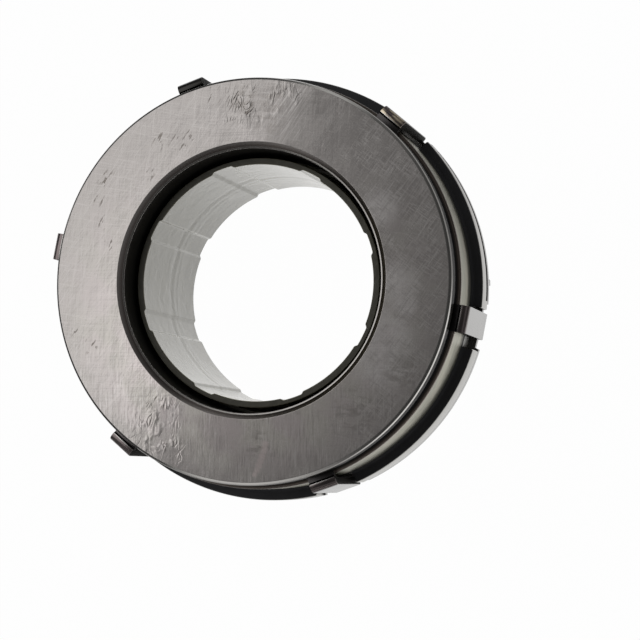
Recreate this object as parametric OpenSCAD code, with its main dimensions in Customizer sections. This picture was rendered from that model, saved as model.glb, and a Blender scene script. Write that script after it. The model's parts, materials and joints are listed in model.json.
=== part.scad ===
// Clutch release bearing. A guide sleeve and a retainer plate with folded tabs
// carry a ball bearing, which can shift sideways under the tabs to centre itself.
// +Z is the bearing axis, from the sleeve's rear end to the ground thrust face.

/* [Guide sleeve] */
// Diameter of the bore that slides on the guide tube
guide_bore_d = 38; // [34:0.5:42]
// Wall of the sleeve in front of its collar
sleeve_wall = 1; // [0.8:0.1:1.4]
// Wall of the sleeve behind its collar
tail_wall = 1.6; // [1.2:0.1:2.4]
// Length of the whole sleeve
sleeve_length = 28; // [24:0.5:29]
// Length of the sleeve behind the retainer plate
tail_length = 11.5; // [8:0.5:14]
// Thickness of the collar that the plate holds
collar_t = 1.5; // [1:0.1:2.5]
// Number of axial grooves in the bore
groove_count = 8; // [4:1:8]
// Angle that each groove takes up
groove_angle = 10.5; // [6:0.5:11]
// Depth of each groove
groove_depth = 0.35; // [0.2:0.05:0.5]
// Angle at which the sleeve sits turned from the tabs
sleeve_turn = -1.4; // [-5:0.1:5]

/* [Retainer plate] */
// Thickness of the sheet
sheet_t = 1.3; // [1:0.1:1.6]
// Number of tabs
tab_count = 6; // [4:1:8]
// Width of each tab
tab_width = 4.3; // [3:0.1:6]
// Inside radius of the fold at the tab's front end
fold_r = 0.5; // [0.3:0.1:0.6]
// How far each tab's lip reaches in over the outer race
lip_reach = 1.9; // [1.2:0.1:2.4]
// Width of the relief notch on each side of a tab
notch_width = 1.5; // [0.8:0.1:2]
// Depth of the relief notch
notch_depth = 0.65; // [0.4:0.05:1]
// Diameter of each fork pad
pad_d = 9; // [6:0.5:11]
// Height of each fork pad
pad_height = 0.6; // [0.3:0.1:1]

/* [Outer race] */
// Thickness of the race's flange
race_flange_t = 4.8; // [3.5:0.1:6]
// Length of the race in front of its flange
race_nose = 9.9; // [9:0.1:12]
// Wall of the race behind its ball groove
race_wall = 2.55; // [2:0.05:4]
// Thickness of the race under its ball groove
race_floor = 4.4; // [3:0.1:5]
// Rounding of the race's front edge
race_round = 0.6; // [0.6:0.05:0.9]
// Fillet between the race's wall and its flange
race_fillet = 0.6; // [0.3:0.05:0.9]
// Angle by which the race sits turned in the play round the tabs
race_turn = -1.1; // [-1.2:0.1:1.2]
// Height of the slit between the flange and the plate
slit_height = 1.4; // [0.8:0.1:2]
// Depth of that slit, inwards from the rim
slit_depth = 1.6; // [0.8:0.1:2]
// Angle that each of the two slits takes up
slit_angle = 44; // [20:1:45]

/* [Thrust ring and balls] */
// Diameter of the ground thrust face
face_d = 64.8; // [62:0.2:66]
// Thickness of the thrust ring at its rim
rim_t = 3.3; // [2.5:0.1:4.5]
// Width of the chamfer at the face's inner edge
bore_chamfer = 0.7; // [0.4:0.1:1.2]
// Width of the narrow shelf inside that chamfer
bore_shelf = 0.25; // [0.1:0.05:0.4]
// Width of the chamfer round the face's outer edge
rim_chamfer = 0.4; // [0.2:0.1:0.8]
// Wall of the thrust ring behind its ball groove
hub_wall = 2.75; // [2:0.05:4]
// Diameter of the balls
ball_d = 6.35; // [5.5:0.05:6.75]
// Number of balls
ball_count = 20; // [12:1:21]

/* [Wave washer] */
// Free height of the washer
washer_height = 1; // [0.8:0.1:1.4]
// Thickness of the washer's strip
washer_t = 0.45; // [0.3:0.05:0.6]
// Width of the washer's strip
washer_width = 4; // [2.5:0.1:5]
// Number of waves in the washer
wave_count = 3; // [3:1:6]

/* [Clearances] */
// Radial gap between the sleeve and the thrust ring's bore
centring_gap = 1.05; // [0.7:0.05:1.5]
// Gap between the outer race's wall and the tabs
tab_gap = 0.54; // [0.5:0.01:0.8]
// Play of each tab sideways in the race's slot
slot_play = 1.27; // [1.2:0.01:1.6]
// Gap between the balls and their grooves
running_gap = 0.12; // [0.05:0.01:0.2]
// Gap between the balls and the cage's pockets
pocket_gap = 0.2; // [0.1:0.05:0.3]
// Gap between the cage, the balls and what they pass
cage_gap = 0.25; // [0.2:0.05:0.4]
// Gap between the seals and the thrust ring
seal_gap = 0.25; // [0.15:0.05:0.4]
// Gap between the sleeve's tail and the plate's hole
hole_gap = 0.25; // [0.1:0.05:0.4]
// Radial gap round the sleeve's collar in the race's recess
recess_gap = 1.5; // [1:0.1:2]
// Axial gap between faces that slide on each other
slide_gap = 0.1; // [0.05:0.05:0.2]
// Axial gap between the tabs' lips and the thrust ring
lip_gap = 0.3; // [0.2:0.05:0.6]

/* [Hidden] */
$fn = 96;
eps = 0.01;
// How far a cut runs past what it cuts
over = 1;

// Radii, from the guide bore outwards
guide_r = guide_bore_d / 2;
sleeve_r = guide_r + sleeve_wall;
tail_r = guide_r + tail_wall;
ring_bore_r = sleeve_r + centring_gap;
ball_r = ball_d / 2;
raceway_r = ball_r + running_gap;
pitch_r = ring_bore_r + hub_wall + raceway_r;
race_r = pitch_r + raceway_r + race_wall;
tab_inner_r = race_r + tab_gap;
retainer_r = tab_inner_r + sheet_t;
face_r = face_d / 2;

// Heights, from the sleeve's rear end forwards
plate_z = tail_length;
plate_top_z = plate_z + sheet_t;
race_z = plate_top_z + slide_gap;
ledge_z = race_z + race_flange_t;
race_top_z = ledge_z + race_nose;
lip_z = race_top_z + slide_gap;
lip_top_z = lip_z + sheet_t;
rim_z = lip_top_z + lip_gap;
face_z = rim_z + rim_t;
collar_top_z = plate_top_z + collar_t;
washer_z = collar_top_z + slide_gap;
recess_z = washer_z + washer_height + slide_gap;
ball_z = recess_z + race_floor + raceway_r;

// Thrust ring
groove_land = 0.2;
shoulder_reach = 0.3;
hub_r = pitch_r - raceway_r + groove_land;
hub_z = recess_z + lip_gap;
shoulder_r = pitch_r + shoulder_reach;
ring_edge = 0.3;
shelf_drop = 0.09;

// Outer race
race_reach = 1.1;
washer_overhang = 0.5;
seal_seat_step = 1;
seal_seat_drop = 0.4;
shield_seat_step = 0.6;
shield_seat_depth = 0.8;
race_land_r = pitch_r + raceway_r - groove_land;
race_inner_r = pitch_r - race_reach;
recess_r = race_inner_r + washer_width + recess_gap - washer_overhang;
seal_seat_r = race_land_r + seal_seat_step;
seal_seat_z = ball_z + ball_r - seal_seat_drop;
shield_seat_r = race_inner_r + shield_seat_step;
flange_edge = 0.3;
slot_angle = 2 * asin((tab_width / 2 + slot_play) / retainer_r);

// Seals
seal_t = 0.5;
seal_z = ball_z + ball_r + cage_gap;
seal_lip_r = shoulder_r + seal_gap;
seal_lip_top_z = rim_z - seal_gap;
seal_rim = 0.7;
shield_t = 0.6;

// Cage
cage_step = 0.9;
cage_r = race_land_r - cage_gap;
cage_inner_r = pitch_r + cage_step;
cage_z = ball_z - cage_step;
cage_top_z = seal_z - cage_gap / 2;

// Wave washer and the collar under it
collar_r = recess_r - recess_gap;
washer_r = collar_r;
washer_inner_r = washer_r - washer_width;
washer_steps = 24 * wave_count;
wave_rise = washer_height - washer_t;

// Sleeve
tail_fillet = 0.8;
mouth_chamfer = 0.3;
front_edge = 0.1;

// Retainer plate
fold_outer_r = fold_r + sheet_t;
root_round = 0.6;
pad_ring_r = (tail_r + retainer_r) / 2;
pad_angles = [90, 270];
nib_angle = 72.4;
nib_size = [0.7, 1, 2];
nib_inset = 0.1;

function two_digits(i) = str(i < 10 ? "0" : "", i);
function ball_name(i) = str("ball_", two_digits(i));
ball_names = [for (i = [1:ball_count]) ball_name(i)];

// The sliver between a corner of a profile and its rounding. It is cut from an outside
// corner and added to an inside one. It lies towards +x and +y, turned by the signs in side.
module corner(at, r, side) {
    translate(at)
        mirror([side[0] < 0 ? 1 : 0, 0])
            mirror([0, side[1] < 0 ? 1 : 0])
                difference() {
                    translate([-eps, -eps]) square(r + eps);
                    translate([r, r]) circle(r = r);
                }
}

// Bevels an outside corner of a profile, turned in the same way.
module bevel_cut(at, w, h, side) {
    translate(at)
        mirror([side[0] < 0 ? 1 : 0, 0])
            mirror([0, side[1] < 0 ? 1 : 0])
                polygon([[-eps, -eps], [w, -eps], [w, 0], [0, h], [-eps, h]]);
}

module span(r0, r1, z0, z1) {
    translate([r0, z0]) square([r1 - r0, z1 - z0]);
}

// Repeats its children once for each tab.
module at_tabs() {
    for (i = [0:tab_count - 1])
        rotate(i * 360 / tab_count) children();
}

// Guide sleeve: a grooved tube with a collar that the plate holds.
module sleeve_profile() {
    difference() {
        union() {
            span(guide_r, sleeve_r, 0, sleeve_length);
            span(guide_r, tail_r, 0, collar_top_z);
            span(guide_r, collar_r, plate_top_z, collar_top_z);
        }
        bevel_cut([guide_r, sleeve_length], front_edge, front_edge, [1, -1]);
        bevel_cut([guide_r, 0], mouth_chamfer, mouth_chamfer, [1, 1]);
        corner([tail_r, 0], tail_fillet, [-1, 1]);
    }
    corner([sleeve_r, collar_top_z], tail_wall - sleeve_wall, [1, 1]);
}

module bore_grooves() {
    for (i = [0:groove_count - 1])
        rotate(i * 360 / groove_count - groove_angle / 2)
            rotate_extrude(angle = groove_angle)
                span(guide_r - over, guide_r + groove_depth, -over, sleeve_length + over);
}

module guide_sleeve() {
    color("lightgray")
        rotate(sleeve_turn)
            difference() {
                rotate_extrude() sleeve_profile();
                bore_grooves();
            }
}

// Retainer plate: a flat ring with tabs bent forwards and folded in.
module tab_profile() {
    fold_x = retainer_r - fold_outer_r;
    fold_z = lip_top_z - fold_outer_r;
    difference() {
        span(tab_inner_r, retainer_r, plate_z, fold_z);
        corner([retainer_r, plate_z], root_round, [-1, 1]);
    }
    span(race_r - lip_reach, fold_x, lip_z, lip_top_z);
    intersection() {
        translate([fold_x, fold_z])
            difference() {
                circle(r = fold_outer_r);
                circle(r = fold_r);
            }
        span(fold_x, retainer_r, fold_z, lip_top_z);
    }
}

module tab() {
    translate([0, tab_width / 2, 0])
        rotate([90, 0, 0])
            linear_extrude(tab_width) tab_profile();
}

module tab_notches() {
    for (side = [-1, 1])
        translate([retainer_r - notch_depth, side * (tab_width + notch_width) / 2, plate_z - over])
            translate([0, -notch_width / 2, 0])
                cube([notch_depth + over, notch_width, sheet_t + 2 * over]);
}

// The rim is cut back to a chord behind each tab, so that the tab's flat face is the outside.
module tab_seat() {
    translate([retainer_r - root_round, -tab_width / 2, plate_z - over])
        cube([root_round + over, tab_width, sheet_t + 2 * over]);
}

module retainer_plate() {
    color("silver") {
        difference() {
            rotate_extrude()
                span(tail_r + hole_gap, retainer_r, plate_z, plate_top_z);
            at_tabs() {
                tab_notches();
                tab_seat();
            }
        }
        at_tabs() tab();
        for (a = pad_angles)
            rotate(a)
                translate([pad_ring_r, 0, plate_z - pad_height])
                    cylinder(d = pad_d, h = pad_height + sheet_t / 2);
        rotate(nib_angle)
            translate([retainer_r - nib_size[0] - nib_inset, -nib_size[1] / 2, plate_z - nib_size[2]])
                cube([nib_size[0], nib_size[1], nib_size[2] + sheet_t / 2]);
    }
}

// Wave washer: a flat strip whose height follows a sine round the ring.
function washer_ring(i) =
    let (a = 360 * i / washer_steps)
    let (z = washer_z + wave_rise / 2 * (1 - cos(wave_count * a)))
    let (x = cos(a))
    let (y = sin(a))
    [
        [washer_inner_r * x, washer_inner_r * y, z],
        [washer_r * x, washer_r * y, z],
        [washer_r * x, washer_r * y, z + washer_t],
        [washer_inner_r * x, washer_inner_r * y, z + washer_t]
    ];

module wave_washer() {
    corners = 4;
    total = corners * washer_steps;
    points = [for (i = [0:washer_steps - 1]) each washer_ring(i)];
    faces = [
        for (i = [0:washer_steps - 1])
            for (k = [0:corners - 1])
                let (a = corners * i)
                let (b = (a + corners) % total)
                let (next = (k + 1) % corners)
                each [[a + k, b + k, b + next], [a + k, b + next, a + next]]
    ];
    color("gray") polyhedron(points, faces);
}

// Outer race: an angular groove inside, a flange behind that is slotted for the tabs.
module race_profile() {
    difference() {
        union() {
            span(race_inner_r, race_r, race_z, race_top_z);
            span(race_inner_r, retainer_r, race_z, ledge_z);
            corner([race_r, ledge_z], race_fillet, [1, 1]);
        }
        translate([pitch_r, ball_z]) circle(r = raceway_r);
        span(race_inner_r - over, race_land_r, ball_z, race_top_z + over);
        span(race_inner_r - over, seal_seat_r, seal_seat_z, race_top_z + over);
        span(race_inner_r - over, recess_r, race_z - over, recess_z);
        span(race_inner_r - over, shield_seat_r, recess_z - over, recess_z + shield_seat_depth);
        corner([race_r, race_top_z], race_round, [-1, -1]);
        corner([retainer_r, ledge_z], flange_edge, [-1, -1]);
    }
}

module race_slot() {
    rotate(-slot_angle / 2)
        rotate_extrude(angle = slot_angle)
            span(race_r, retainer_r + over, race_z - over, ledge_z + over);
}

module race_slit() {
    rotate(-slit_angle / 2)
        rotate_extrude(angle = slit_angle)
            span(retainer_r - slit_depth, retainer_r + over, race_z - over, race_z + slit_height);
}

module outer_race() {
    color("darkgray")
        rotate(race_turn)
            difference() {
                rotate_extrude() race_profile();
                at_tabs() race_slot();
                for (a = pad_angles)
                    rotate(a) race_slit();
            }
}

// Front seal: a rim in the outer race, a web over the balls and a lip under the flange.
module front_seal() {
    web_top_z = seal_z + seal_t;
    color("dimgray")
        rotate_extrude() {
            span(seal_seat_r - seal_rim, seal_seat_r, seal_seat_z, web_top_z);
            span(seal_lip_r, seal_seat_r - seal_rim, seal_z, web_top_z);
            polygon([
                [seal_lip_r, web_top_z],
                [seal_lip_r + 2 * seal_t, web_top_z],
                [seal_lip_r + 2.5 * seal_t, seal_lip_top_z],
                [seal_lip_r + 1.5 * seal_t, seal_lip_top_z]
            ]);
        }
}

// Rear shield: a pressed ring in the back of the outer race.
module rear_shield() {
    top_z = recess_z + shield_seat_depth;
    color("dimgray")
        rotate_extrude()
            difference() {
                span(hub_r + seal_gap, shield_seat_r, top_z - shield_t, top_z);
                corner([shield_seat_r, top_z - shield_t], shield_t / 2, [-1, 1]);
            }
}

// The face's inner edge: a chamfer down to a narrow sloping shelf over the bore.
module bore_edge_cut() {
    shelf_r = ring_bore_r + bore_shelf;
    shelf_z = face_z - bore_chamfer;
    polygon([
        [ring_bore_r - eps, shelf_z - shelf_drop],
        [shelf_r, shelf_z],
        [shelf_r + bore_chamfer, face_z],
        [shelf_r + bore_chamfer, face_z + eps],
        [ring_bore_r - eps, face_z + eps]
    ]);
}

// Thrust ring: a hub inside the balls, a shoulder over them and the ground flange.
module thrust_ring() {
    color("lightslategray")
        rotate_extrude()
            difference() {
                union() {
                    span(ring_bore_r, face_r, rim_z, face_z);
                    span(ring_bore_r, shoulder_r, ball_z, rim_z + eps);
                    span(ring_bore_r, hub_r, hub_z, ball_z + eps);
                }
                translate([pitch_r, ball_z]) circle(r = raceway_r);
                bevel_cut([face_r, face_z], rim_chamfer, rim_chamfer, [-1, -1]);
                bevel_cut([face_r, rim_z], rim_chamfer, rim_chamfer, [-1, 1]);
                bore_edge_cut();
                bevel_cut([ring_bore_r, hub_z], ring_edge, ring_edge, [1, 1]);
                bevel_cut([hub_r, hub_z], ring_edge, ring_edge, [-1, 1]);
            }
}

// Ball cage: a crown that rides under the outer race's land, open at the back.
module ball_cage() {
    color("saddlebrown")
        difference() {
            rotate_extrude()
                span(cage_inner_r, cage_r, cage_z, cage_top_z);
            for (i = [1:ball_count])
                ball_place(i) sphere(r = ball_r + pocket_gap);
        }
}

module ball_place(i) {
    rotate((i - 0.5) * 360 / ball_count)
        translate([pitch_r, 0, ball_z]) children();
}

module ball(i) {
    color("gainsboro") ball_place(i) sphere(r = ball_r);
}

guide_sleeve();
retainer_plate();
wave_washer();
outer_race();
front_seal();
rear_shield();
thrust_ring();
ball_cage();
for (i = [1:ball_count])
    ball(i);
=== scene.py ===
"""Clutch release bearing: meshes and finishes for its pieces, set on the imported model."""
import json
import math

import bmesh
import bpy
from mathutils import Matrix, Vector


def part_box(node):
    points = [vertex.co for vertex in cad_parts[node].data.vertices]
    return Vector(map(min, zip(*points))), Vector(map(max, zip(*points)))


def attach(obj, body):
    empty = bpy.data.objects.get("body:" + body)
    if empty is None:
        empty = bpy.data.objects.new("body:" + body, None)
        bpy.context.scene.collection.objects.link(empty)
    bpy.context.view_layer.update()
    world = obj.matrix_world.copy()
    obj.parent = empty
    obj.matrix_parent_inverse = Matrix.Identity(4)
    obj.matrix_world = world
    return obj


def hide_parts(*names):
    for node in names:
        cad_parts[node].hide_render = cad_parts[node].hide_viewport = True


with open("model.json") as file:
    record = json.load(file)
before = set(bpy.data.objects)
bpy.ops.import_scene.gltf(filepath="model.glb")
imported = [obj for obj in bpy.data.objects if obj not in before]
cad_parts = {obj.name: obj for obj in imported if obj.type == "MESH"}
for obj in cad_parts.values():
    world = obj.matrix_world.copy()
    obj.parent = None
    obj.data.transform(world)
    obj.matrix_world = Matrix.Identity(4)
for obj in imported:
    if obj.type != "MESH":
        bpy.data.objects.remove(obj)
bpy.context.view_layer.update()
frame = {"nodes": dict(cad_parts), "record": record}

# Units, tolerances and steps
MM = 0.001
MERGE = 1e-7
SHARP_EDGE = math.radians(32)
STEP_ANGLE = 1.25
FLAT_EDGE = 0.02 * MM
GROOVE_STEPS = 24
ROUND_STEPS = 6
EDGE_STEPS = 4
SHEET_STEPS = 3
BALL_SUBDIVISIONS = 5


def reach(node):
    """How far a round node reaches from the axis."""
    low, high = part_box(node)
    return max(-low.x, high.x, -low.y, high.y)


def heights(node):
    """Lowest and highest point of a node."""
    low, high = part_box(node)
    return low.z, high.z


def towards(angle):
    """A flat direction at an angle round the axis."""
    return Vector((math.cos(math.radians(angle)), math.sin(math.radians(angle)), 0))


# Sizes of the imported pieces, in metres
mounts = {mount["name"]: mount for mount in frame["record"]["mounts"]}
guide_r = mounts["guide_bore"]["dims"]["r_mm"] * MM
sleeve_z, sleeve_top = heights("guide_sleeve")
collar_r = reach("guide_sleeve")
face_r = reach("thrust_ring")
hub_z, face_z = heights("thrust_ring")
race_z, race_top = heights("outer_race")
retainer_r = reach("retainer_plate")
nib_z, lip_top = heights("retainer_plate")
seal_seat_z = heights("front_seal")[0]
seal_seat_r = reach("front_seal")
shield_seat_r = reach("rear_shield")
shield_top = heights("rear_shield")[1]
ball_low, ball_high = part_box("ball_01")
ball_centre = (ball_low + ball_high) / 2
ball_r = (ball_high.z - ball_low.z) / 2
ball_z = ball_centre.z
pitch_r = math.hypot(ball_centre.x, ball_centre.y)

# Sizes of the thrust ring, in metres
ring_bore_r = 21.05 * MM
rim_z = 29.3 * MM
rim_chamfer = 0.36 * MM
rim_edge_run = 0.13 * MM
rim_edge_drop = 0.4 * MM
bore_chamfer = 0.7 * MM
shelf_run = 0.25 * MM
shelf_drop = 0.09 * MM
hub_r = 24.0 * MM
hub_edge = 0.3 * MM
shoulder_offset = 0.3 * MM
shoulder_r = pitch_r + shoulder_offset
shoulder_fillet = 0.3 * MM
shoulder_height = 2.0 * MM
running_gap = 0.12 * MM
raceway_r = ball_r + running_gap
ring_break = 0.07 * MM

# Sizes of the outer race, in metres and degrees
race_r = 32.94 * MM
ledge_z = 17.7 * MM
recess_r = 30.995 * MM
recess_z = 15.5 * MM
race_inner_offset = 1.1 * MM
race_inner_r = pitch_r - race_inner_offset
race_land_drop = 0.2 * MM
race_land_r = pitch_r + raceway_r - race_land_drop
race_round = 0.6 * MM
race_fillet = 0.6 * MM
flange_edge = 0.3 * MM
race_break = 0.1 * MM
race_turn = -1.1
slot_angle = 11.29
slit_angle = 44.0
slit_centres = (90.0, 270.0)
slit_height = 1.4 * MM
slit_depth = 1.6 * MM
# Painted shade on the race wall's foot: where it begins and where it is full, as heights
foot_shade_top = 23.2 * MM
foot_shade_bottom = 18.5 * MM

# Sizes of the retainer plate, in metres and degrees
sheet_t = 1.3 * MM
race_gap = 0.1 * MM
plate_top = race_z - race_gap
plate_z = plate_top - sheet_t
plate_hole_r = 20.85 * MM
tab_count = 6
tab_width = 4.3 * MM
tab_inner_r = retainer_r - sheet_t
tab_fold_r = 0.5 * MM
tab_corner_r = 1.1 * MM
fold_z = lip_top - tab_corner_r
coined_r = 33.45 * MM
coined_depth = 0.25 * MM
tab_root_round = 0.6 * MM
lip_r = 31.04 * MM
lip_z = lip_top - sheet_t
notch_width = 1.5 * MM
notch_depth = 0.65 * MM
sheet_break = 0.12 * MM
tab_break = 0.08 * MM
pad_count = 2
pad_turn = 90
pad_segments = 64
pad_r = 4.5 * MM
pad_height = 0.6 * MM
pad_ring_r = 27.69 * MM
pad_edge = 0.15 * MM
nib_angle = 72.4
nib_depth = 0.7 * MM
nib_width = 1.0 * MM
nib_inset = 0.1 * MM

# Sizes of the guide sleeve, in metres and degrees
sleeve_r = 20.0 * MM
tail_r = 20.6 * MM
tail_round = 0.8 * MM
collar_z = plate_top
collar_height = 1.5 * MM
collar_top = collar_z + collar_height
collar_edge = 0.15 * MM
collar_fillet = 0.6 * MM
mouth_chamfer = 0.3 * MM
front_edge = 0.1 * MM
sleeve_edge = 0.1 * MM
groove_count = 8
groove_angle = 10.5
groove_edge_angle = 1.8
groove_depth = 0.35 * MM
sleeve_turn = -1.4
bore_step = 0.9 * MM
bore_steps = 8
sunk_step = 0.15 * MM
sunk_steps = 48
top_steps = 14

# Sink marks in the sleeve's bore, as (height, depth), with their width, in mm
sink_marks = ((13.4, 0.030), (11.6, -0.024), (9.6, -0.018))
sink_width = 0.75

# How squarely a side looks its way where it takes its own finish or edge, as a cosine
face_facing = 0.98
ledge_facing = 0.7
sheared_facing = 0.96
tab_side_facing = 0.9
sleeve_end_facing = 0.9

# Marks of use, and places of painted shade on the tabs, as (radius in mm, angle, size in mm), those of the
# face first
rubbed_places = ((28.4, 307, 5.5), (25.2, 305, 4.5), (29.6, 316, 3.0), (28.0, 163, 5.0), (29.5, 152, 4.5))
nicked_places = ((29.0, 216, 2.2), (26.2, 229, 1.6), (23.8, 236, 1.8), (25.2, 187, 2.8), (27.0, 194, 2.0),
                 (30.3, 173, 2.4), (27.4, 164, 3.2), (29.9, 265, 1.8), (28.2, 272, 1.8), (24.6, 302, 2.6),
                 (24.2, 205, 1.6), (28.7, 223, 1.6))
smudged_places = ((29.0, 163, 3.2), (28.7, 153, 3.4), (25.8, 154, 3.4), (27.0, 20, 5.0), (28.5, 40, 4.0),
                  (26.0, 345, 3.5))
bright_places = ((23.4, 48, 6.5), (23.6, 68, 5.0), (23.4, 98, 4.0), (25.2, 61, 3.0), (24.8, 40, 6.5))
scratched_places = ((28.4, 148, 4.8), (25.6, 147, 4.2), (30.4, 146, 3.6))
scuffed_places = ((26.0, 346.9, 0.75), (26.6, 346.5, 0.75), (27.1, 346.1, 0.75), (27.9, 345.4, 0.8),
                  (28.6, 344.8, 0.8), (29.3, 344.2, 0.8), (30.0, 343.5, 0.7), (30.6, 342.8, 0.6))
stained_tabs = ((33.9, 121.0, 5.0),)
# Painted shade on the top of the tab at 180 degrees
shaded_tabs = ((34.0, 180, 8.0),)

# Strokes on the face and the tabs, as (angle, length in mm, width in mm)
ground_strokes = ((161, 14.0, 0.17), (148, 10.0, 0.19), (116, 12.0, 0.17), (72, 12.0, 0.18))
fine_scratches = ((154, 7.0, 0.11), (60, 6.0, 0.10), (128, 9.0, 0.11))
low_grain = (161, 2.6, 0.20)
right_grains = ((124, 3.2, 0.20), (34, 1.6, 0.17))
scratch_bundle = (126, 4.5, 0.21)
nick_stroke = (132, 1.5, 0.36)
wrinkle_stroke = (158, 4.2, 1.25)
fold_stroke = (150, 5.5, 2.0)
wave_stroke = (150, 5.0, 2.2)
smudge_stroke = (70, 2.4, 0.9)
stain_stroke = (210, 2.6, 0.7)

# Where the face's tones begin and are full, in mm from the axis
outer_reach = (22.0, 36.0)
# Reach of the painted shade that darkens the face towards the picture's top
far_shade_reach = (-32.0, 32.0)
low_grain_reach = (-4.0, -20.0)
right_grain_reach = (8.0, 22.0)

# Colours of the thrust face
bare_face = (0.71, 0.636, 0.622, 1)
yellowed_face = (0.69, 0.651, 0.596, 1)
clouded_face = (0.47, 0.443, 0.428, 1)
outer_face = (0.47, 0.443, 0.426, 1)
# Painted shade: the face's colour towards the picture's top
far_shaded_face = (0.435, 0.408, 0.392, 1)
bright_face = (0.92, 0.88, 0.86, 1)
smudge_brown = (0.27, 0.243, 0.222, 1)
# Painted shade in the creases of the rubbed places
crease_shade = (0.24, 0.212, 0.192, 1)
stroke_grey = (0.35, 0.328, 0.316, 1)
dark_grain_grey = (0.25, 0.234, 0.224, 1)
light_grain_grey = (0.80, 0.763, 0.744, 1)
scratch_white = (0.95, 0.91, 0.89, 1)
scuff_pink = (0.80, 0.69, 0.67, 1)
nick_black = (0.12, 0.102, 0.086, 1)

# Colours of the other finishes
chamfer_grey = (0.46, 0.425, 0.405, 1)
chamfer_brown = (0.20, 0.17, 0.155, 1)
race_olive = (0.39, 0.386, 0.318, 1)
race_grey = (0.515, 0.495, 0.412, 1)
# Painted shade at the race wall's foot
race_foot_shade = (0.05, 0.055, 0.050, 1)
sheet_grey = (0.26, 0.254, 0.244, 1)
sheet_light = (0.345, 0.338, 0.326, 1)
fold_brown = (0.17, 0.145, 0.148, 1)
fold_light = (0.32, 0.27, 0.26, 1)
tab_stain = (0.95, 0.82, 0.62, 1)
# Painted shade on the top of the tab at 180 degrees
tab_shade = (0.05, 0.048, 0.045, 1)
lip_shade = (0.09, 0.084, 0.084, 1)
# Painted highlight along the coined step of the tab lips
coined_edge_highlight = (0.80, 0.77, 0.74, 1)
# Sheared tab sides: torn steel, with painted shade that makes them near black
sheared_shade_black = (0.022, 0.021, 0.020, 1)
sheared_shade_grey = (0.055, 0.051, 0.048, 1)
rubber_black = (0.018, 0.018, 0.018, 1)
rubber_grey = (0.04, 0.04, 0.04, 1)
warm_gloss = (1.0, 0.975, 0.89, 1)
oil_tint = (1.0, 0.985, 0.94, 1)

# Depths of the finishes' relief
face_depth = 0.019 * MM
line_depth = 0.003 * MM
fine_line_depth = 0.002 * MM
rim_line_depth = 0.0005 * MM
polish_depth = 0.0002 * MM
torn_depth = 0.01 * MM
rubber_depth = 0.01 * MM
moulded_depth = 0.12 * MM

# The picture's top and right, as angles round the axis
picture_top_angle = 161.05
picture_right_angle = 71.05


# Mesh helpers
def arc(centre, radius, start, end, steps):
    """Points along an arc of a section, with its angles in degrees."""
    angles = [math.radians(start + (end - start) * i / steps) for i in range(steps + 1)]
    return [(centre[0] + radius * math.cos(a), centre[1] + radius * math.sin(a)) for a in angles]


def rounded(corners, steps=EDGE_STEPS):
    """A section from (r, z, rounding) corners, each rounded by an arc between two flat edges."""
    points = []
    for i, (r, z, size) in enumerate(corners):
        if size == 0:
            points.append((r, z))
            continue
        here = Vector((r, z))
        to_last = (Vector(corners[i - 1][:2]) - here).normalized()
        to_next = (Vector(corners[(i + 1) % len(corners)][:2]) - here).normalized()
        half = to_last.angle(to_next) / 2
        centre = here + (to_last + to_next).normalized() * size / math.sin(half)
        first = here + to_last * size / math.tan(half)
        last = here + to_next * size / math.tan(half)
        start = math.degrees(math.atan2(first.y - centre.y, first.x - centre.x))
        end = math.degrees(math.atan2(last.y - centre.y, last.x - centre.x))
        end = start + (end - start + 180) % 360 - 180
        points.append(tuple(first + to_last * FLAT_EDGE))
        points += arc(centre, size, start, end, steps)
        points.append(tuple(last + to_next * FLAT_EDGE))
    return points


def spread(first, last):
    """Angles from the first to the last, in even steps."""
    count = max(1, round((last - first) / STEP_ANGLE))
    return [first + (last - first) * i / count for i in range(count + 1)]


def even_angles(extra=()):
    """Angles round the axis at even steps, with some extra ones, in order."""
    count = round(360 / STEP_ANGLE)
    return sorted({round(i * STEP_ANGLE, 4) for i in range(count)} | {round(a % 360, 4) for a in extra})


def set_shading(shape):
    """Smooth faces that break at sharp edges."""
    for face in shape.faces:
        face.smooth = True
    for edge in shape.edges:
        edge.smooth = len(edge.link_faces) == 2 and edge.calc_face_angle(0) < SHARP_EDGE


def piece_from(name, shape, finishes, finish_of=None):
    """An object from a bmesh, with its finishes given out by face."""
    bmesh.ops.remove_doubles(shape, verts=shape.verts, dist=MERGE)
    bmesh.ops.dissolve_degenerate(shape, edges=shape.edges, dist=MERGE)
    bmesh.ops.recalc_face_normals(shape, faces=shape.faces)
    set_shading(shape)
    if finish_of:
        for face in shape.faces:
            face.material_index = finish_of(face.calc_center_median(), face.normal)
    mesh = bpy.data.meshes.new(name)
    shape.to_mesh(mesh)
    shape.free()
    for finish in finishes:
        mesh.materials.append(finish)
    piece = bpy.data.objects.new(name, mesh)
    bpy.context.scene.collection.objects.link(piece)
    return piece


def ring_shape(stations):
    """A closed ring through (angle, section) stations whose sections have as many points."""
    shape = bmesh.new()
    rings = []
    for angle, section in stations:
        c, s = math.cos(math.radians(angle)), math.sin(math.radians(angle))
        rings.append([shape.verts.new((r * c, r * s, z)) for r, z in section])
    for ring, after in zip(rings, rings[1:] + rings[:1]):
        for k in range(len(ring)):
            j = (k + 1) % len(ring)
            shape.faces.new((ring[k], after[k], after[j], ring[j]))
    return shape


def settle(piece):
    """Turns a piece's modifiers into its plain mesh."""
    depsgraph = bpy.context.evaluated_depsgraph_get()
    mesh = bpy.data.meshes.new_from_object(piece.evaluated_get(depsgraph))
    piece.modifiers.clear()
    piece.data = mesh


# Node helpers
def feed(tree, socket, value):
    """Links a socket to another node's output, or sets its value."""
    if isinstance(value, bpy.types.NodeSocket):
        tree.links.new(value, socket)
    else:
        socket.default_value = value


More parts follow.
